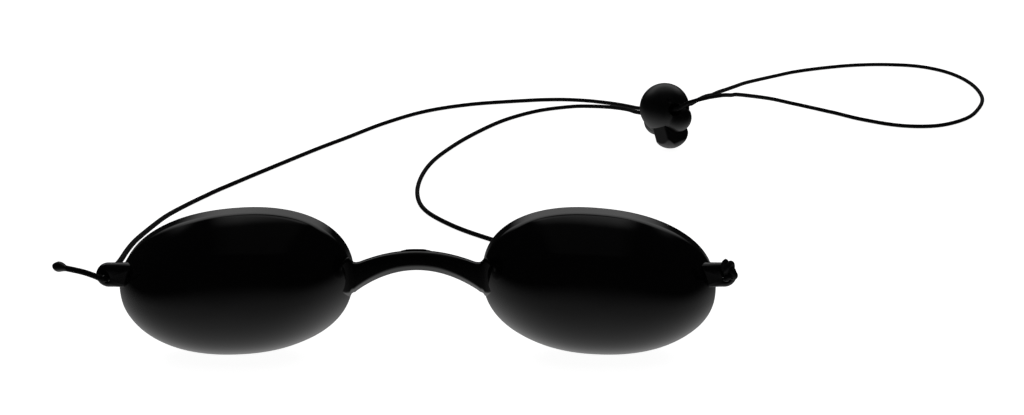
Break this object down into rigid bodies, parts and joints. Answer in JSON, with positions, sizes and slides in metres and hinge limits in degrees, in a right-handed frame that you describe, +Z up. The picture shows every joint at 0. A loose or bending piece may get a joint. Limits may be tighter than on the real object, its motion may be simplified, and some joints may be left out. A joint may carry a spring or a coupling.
{
  "type": "eye shield goggles",
  "caption": "Opaque black eye cup goggles with an arched flexible nose bridge, a thin elastic cord and a sprung ball cord lock.",
  "frame": {"origin": "under the middle of the goggles, on the surface that the lower edges of the eye cups stand on", "axes": "+X towards the wearer's left temple, which is the right side of the front view, +Y towards the wearer's face, away from the domes, +Z up"},
  "size_m": [0.2243, 0.1824, 0.0297],
  "materials": {
    "moulding": "glossy injection moulded polypropylene, opaque black",
    "lock_plastic": "satin to glossy injection moulded acetal, black",
    "elastic": "fine black polyester braid over a rubber core",
    "melted_end": "melted polyester, black",
    "spring_wire": "drawn spring wire"
  },
  "bodies": {
    "bridge": {"nose_bridge": "moulding", "cord_left_strand": "elastic", "cord_right_strand": "elastic", "cord_loop": "elastic", "lock_barrel": "lock_plastic", "lock_spring": "spring_wire"},
    "left_cup": {"left_eye_cup": "moulding", "cord_tail": "elastic", "cord_end_bead": "melted_end"},
    "right_cup": {"right_eye_cup": "moulding", "cord_end_knot": "elastic"},
    "lock_button": {"lock_plunger": "lock_plastic"}
  },
  "joints": [
    {"name": "left_bridge_flex", "type": "hinge", "parent": "bridge", "child": "left_cup", "pos_m": [-0.0112, 0.0032, 0.0167], "axis": [0, 0, -1], "range_deg": [-12, 12], "stiffness_Nm_per_rad": 0.05, "deforming": ["cord_left_strand"]},
    {"name": "right_bridge_flex", "type": "hinge", "parent": "bridge", "child": "right_cup", "pos_m": [0.0112, 0.0032, 0.0167], "axis": [0, 0, 1], "range_deg": [-12, 12], "stiffness_Nm_per_rad": 0.05, "deforming": ["cord_right_strand"]},
    {"name": "lock_press", "type": "slide", "parent": "bridge", "child": "lock_button", "axis": [-0.2763, 0.2763, 0.9205], "range_m": [0, 0.0016], "stiffness_N_per_m": 700, "deforming": ["lock_spring"]}
  ]
}
